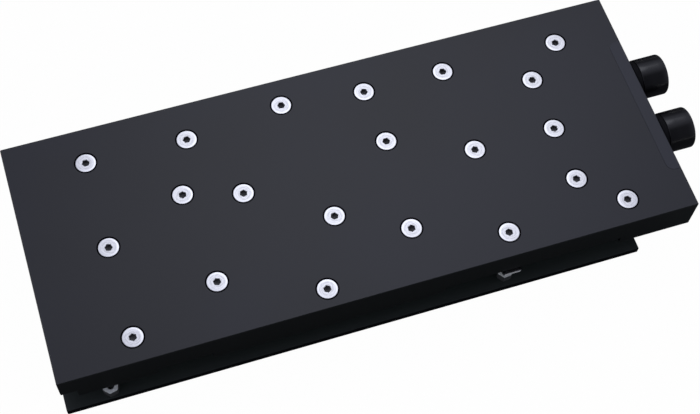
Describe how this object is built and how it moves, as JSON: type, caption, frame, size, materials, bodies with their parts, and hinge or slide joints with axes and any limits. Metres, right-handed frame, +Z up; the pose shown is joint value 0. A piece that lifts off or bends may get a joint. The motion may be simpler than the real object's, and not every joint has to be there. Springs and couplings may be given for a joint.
{
  "type": "liquid cooling cold plate",
  "caption": "Flat full-length liquid cold plate for an accelerator card: black cover screwed to a finned metal plate, two coolant fittings at one end and a backplate below.",
  "frame": {"origin": "on the backplate's outer face, under the centre of the processor's contact face", "axes": "+X along the length towards the coolant fittings, +Y across the card, +Z up from the backplate to the cover"},
  "size_m": [0.2632, 0.1019, 0.027],
  "materials": {
    "acetal": "fine milled, satin black",
    "nickel": "nickel plated copper, satin",
    "steel": "bright turned stainless steel",
    "fitting": "black satin plating",
    "backplate": "black anodised",
    "standoff": "bright",
    "brass": "turned brass",
    "seal": "matte black",
    "pad": "soft grey, matte"
  },
  "bodies": {
    "root": {"top_cover": "acetal", "cold_plate": "nickel", "main_seal": "seal", "fin_bridge_plate": "steel", "fin_bridge_gasket": "seal", "cover_screws": "steel", "plate_posts": "brass", "locating_pins": "steel", "inlet_fitting": "fitting", "inlet_seal": "seal", "outlet_fitting": "fitting", "outlet_seal": "seal", "backplate": "backplate", "card_standoffs": "standoff", "bracket_standoffs": "standoff", "backplate_screws": "steel", "bracket_screws": "steel", "gpu_pad": "pad", "memory_pads": "pad", "vrm_pads": "pad", "choke_pad": "pad", "backplate_pads": "pad"}
  },
  "joints": []
}
